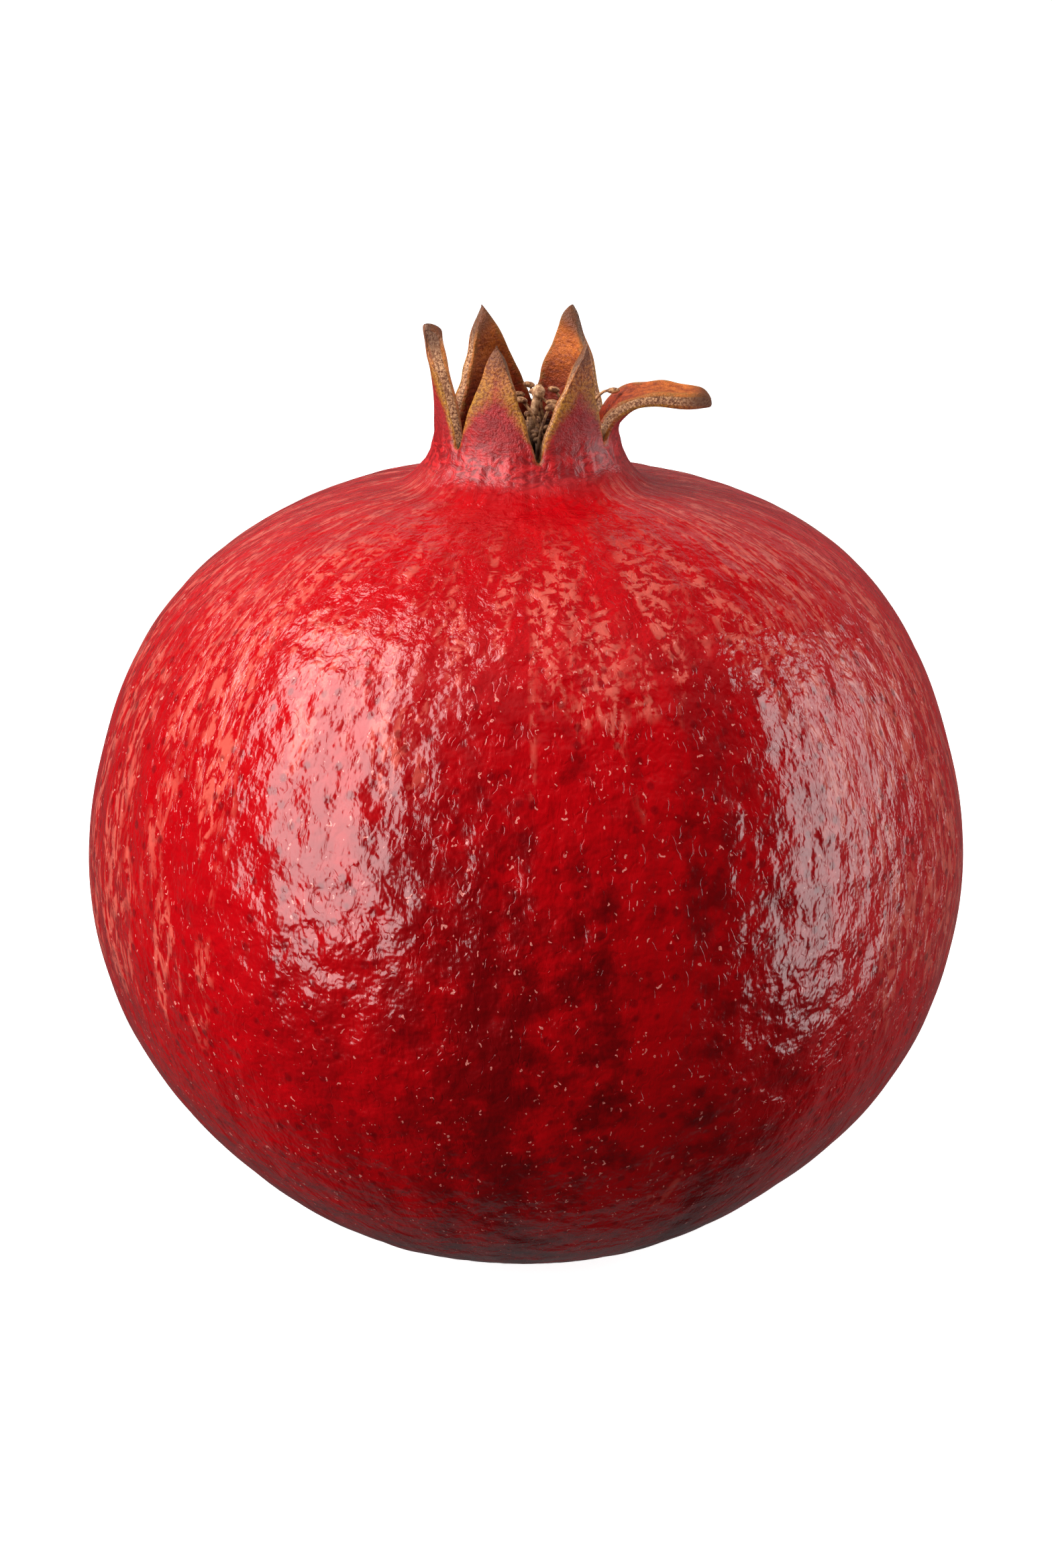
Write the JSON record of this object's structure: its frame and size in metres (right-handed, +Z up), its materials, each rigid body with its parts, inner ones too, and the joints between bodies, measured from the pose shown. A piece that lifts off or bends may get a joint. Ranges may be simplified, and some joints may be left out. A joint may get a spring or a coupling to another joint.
{
  "type": "pomegranate",
  "caption": "Whole ripe pomegranate with a glossy leathery red rind and an open calyx crown of upright sepals, one of them bent down, round dried stamens.",
  "frame": {"origin": "middle of the flat spot at the stem end, on the surface that the fruit stands on, under the middle of its outline", "axes": "+Z up along the fruit's axis, from the stem end to the crown; -Y towards the side shown in the picture, +X to its right, where the bent sepal points"},
  "size_m": [0.0949, 0.093, 0.1037],
  "materials": {
    "rind": "glossy leathery red skin with fine flecks and pale dots, dry tan sepal edges",
    "dry_stamen": "dry matte tan plant fibre",
    "dry_style": "dry matte pale tan plant fibre",
    "stem_wood": "dry rough cut stem"
  },
  "bodies": {
    "root": {"fruit": "rind", "stamens": "dry_stamen", "style": "dry_style", "stem_stub": "stem_wood"}
  },
  "joints": []
}
